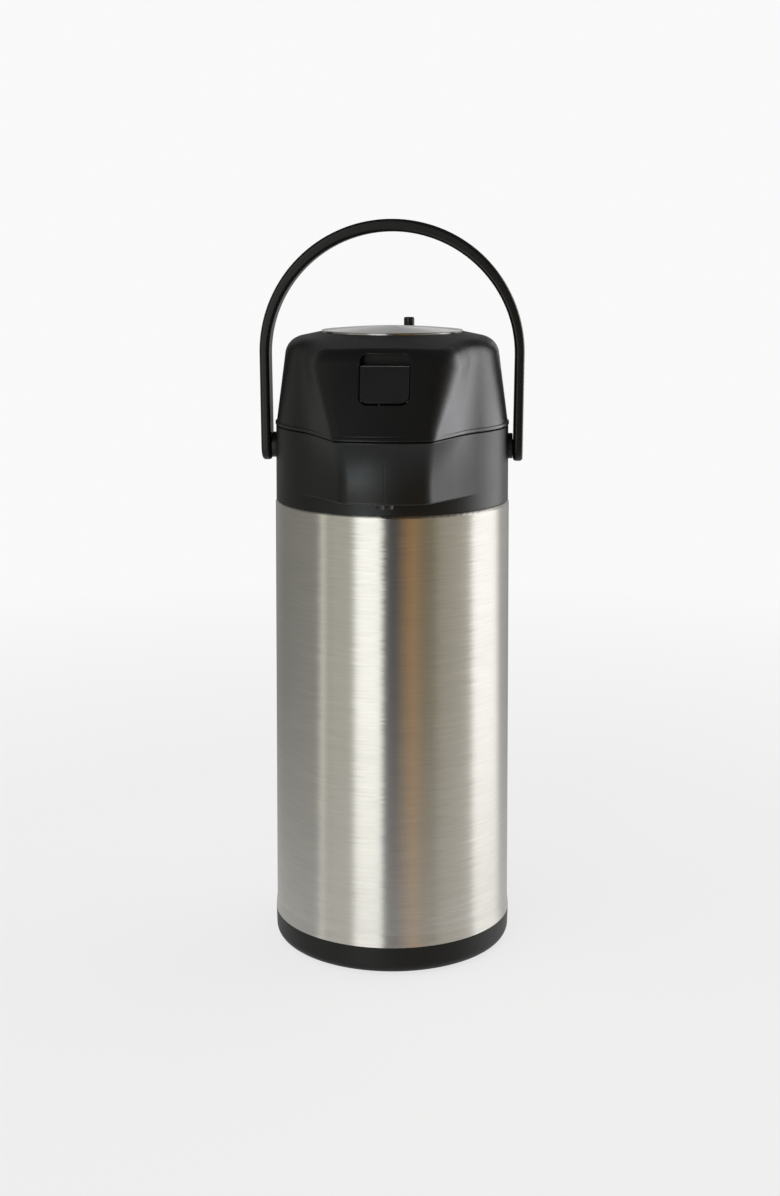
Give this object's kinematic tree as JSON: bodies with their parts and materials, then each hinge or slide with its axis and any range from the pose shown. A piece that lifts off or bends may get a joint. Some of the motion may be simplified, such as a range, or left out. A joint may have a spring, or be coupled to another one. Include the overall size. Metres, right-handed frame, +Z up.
{
  "type": "thermal coffee airpot",
  "caption": "Tall insulated steel coffee dispenser with a black beaked head, a push-button pump lid with a turning lock, a front latch and a swinging bail handle.",
  "frame": {"origin": "centre of the foot pad's underside, on the surface the airpot stands on", "axes": "+Z up along the body's axis, spout and latch facing -Y, +X to the right seen from the front"},
  "size_m": [0.1624, 0.1783, 0.445],
  "materials": {
    "brushed_shell": "fine circumferential brushing",
    "liner_steel": "plain drawn",
    "disc_steel": "circular brushing",
    "pin_steel": "bright",
    "spring_steel": "bright wire",
    "ball_steel": "polished",
    "seal_metal": "dull",
    "head_plastic": "satin with a very fine grain",
    "handle_plastic": "satin",
    "base_plastic": "satin",
    "knob_plastic": "smooth",
    "inner_plastic": "plain moulded",
    "tube_plastic": "natural polypropylene",
    "nozzle_plastic": "smooth",
    "bellows_rubber": "soft moulded",
    "seal_rubber": "silicone",
    "foot_rubber": "matt"
  },
  "bodies": {
    "pot": {"outer_shell": "brushed_shell", "inner_liner": "liner_steel", "vacuum_base_plate": "liner_steel", "vacuum_seal": "seal_metal", "base_cap": "base_plastic", "foot_pad": "foot_rubber", "shoulder": "head_plastic", "neck_ring": "inner_plastic", "neck_gasket": "seal_rubber", "beak_floor": "head_plastic", "hinge_pin": "pin_steel", "stopper": "inner_plastic", "stopper_gasket": "seal_rubber", "dip_tube": "tube_plastic", "outlet_elbow": "tube_plastic", "spout_nozzle": "nozzle_plastic", "handle_pivot_left": "handle_plastic", "handle_pivot_right": "handle_plastic"},
    "spill_ball": {"anti_spill_ball": "ball_steel"},
    "lid": {"lid": "head_plastic", "lid_base_plate": "inner_plastic", "lid_screws": "pin_steel", "air_valve": "seal_rubber", "bellows": "bellows_rubber", "return_spring": "spring_steel", "latch_pin": "pin_steel", "latch_spring": "spring_steel"},
    "button": {"push_cap": "head_plastic"},
    "lock": {"push_plate": "disc_steel", "lock_knob": "knob_plastic", "lock_spider": "inner_plastic"},
    "latch": {"latch_lever": "head_plastic"},
    "handle": {"handle": "handle_plastic"}
  },
  "joints": [
    {"name": "handle_swing", "type": "hinge", "parent": "pot", "child": "handle", "pos_m": [0, 0, 0.3058], "axis": [1, 0, 0], "range_deg": [-140, 140]},
    {"name": "lid_open", "type": "hinge", "parent": "pot", "child": "lid", "pos_m": [0, 0.073, 0.321], "axis": [-1, 0, 0], "range_deg": [0, 25]},
    {"name": "button_press", "type": "slide", "parent": "lid", "child": "button", "axis": [0, 0, -1], "range_m": [0, 0.02], "stiffness_N_per_m": 300, "springref_m": -0.012, "deforming": ["bellows", "return_spring"]},
    {"name": "lock_turn", "type": "hinge", "parent": "button", "child": "lock", "pos_m": [0, 0, 0.3755], "axis": [0, 0, -1], "range_deg": [-33.2, 0]},
    {"name": "latch_pull", "type": "hinge", "parent": "lid", "child": "latch", "pos_m": [0, -0.086, 0.341], "axis": [1, 0, 0], "range_deg": [0, 10], "stiffness_Nm_per_rad": 0.4, "springref_deg": -8.59, "deforming": ["latch_spring"]},
    {"name": "spill_ball_lift", "type": "slide", "parent": "pot", "child": "spill_ball", "axis": [0, 0, 1], "range_m": [0, 0.0035]}
  ]
}
